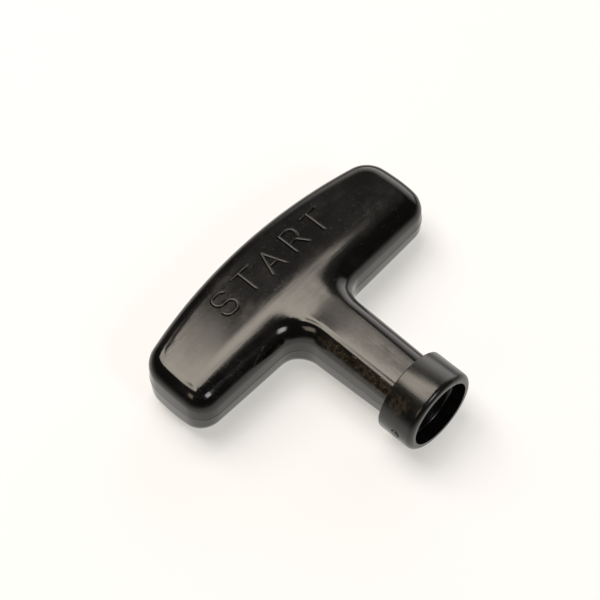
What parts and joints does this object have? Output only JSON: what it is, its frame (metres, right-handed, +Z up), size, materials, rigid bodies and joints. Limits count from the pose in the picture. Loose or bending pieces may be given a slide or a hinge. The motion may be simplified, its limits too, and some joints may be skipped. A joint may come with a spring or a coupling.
{
  "type": "recoil starter handle",
  "caption": "One-piece moulded T-shaped pull handle for a recoil starter, with a crowned cross bar, a stem, a flared collar with a round socket, a rope passage and a knot pocket.",
  "frame": {"origin": "on the surface the handle lies on, under the centre of its box", "axes": "+X along the cross bar, +Y from the collar towards the bar, +Z up, out of the lettered face; the stem's axis dips 2.1 degrees towards +Y, because the handle rests on its collar and the back of its bar"},
  "size_m": [0.093, 0.074, 0.0253],
  "materials": {
    "black_plastic": "polished black moulded plastic, lightly dusted and scuffed, with a fine parting line round its edge"
  },
  "bodies": {
    "root": {"handle": "black_plastic"}
  },
  "joints": []
}
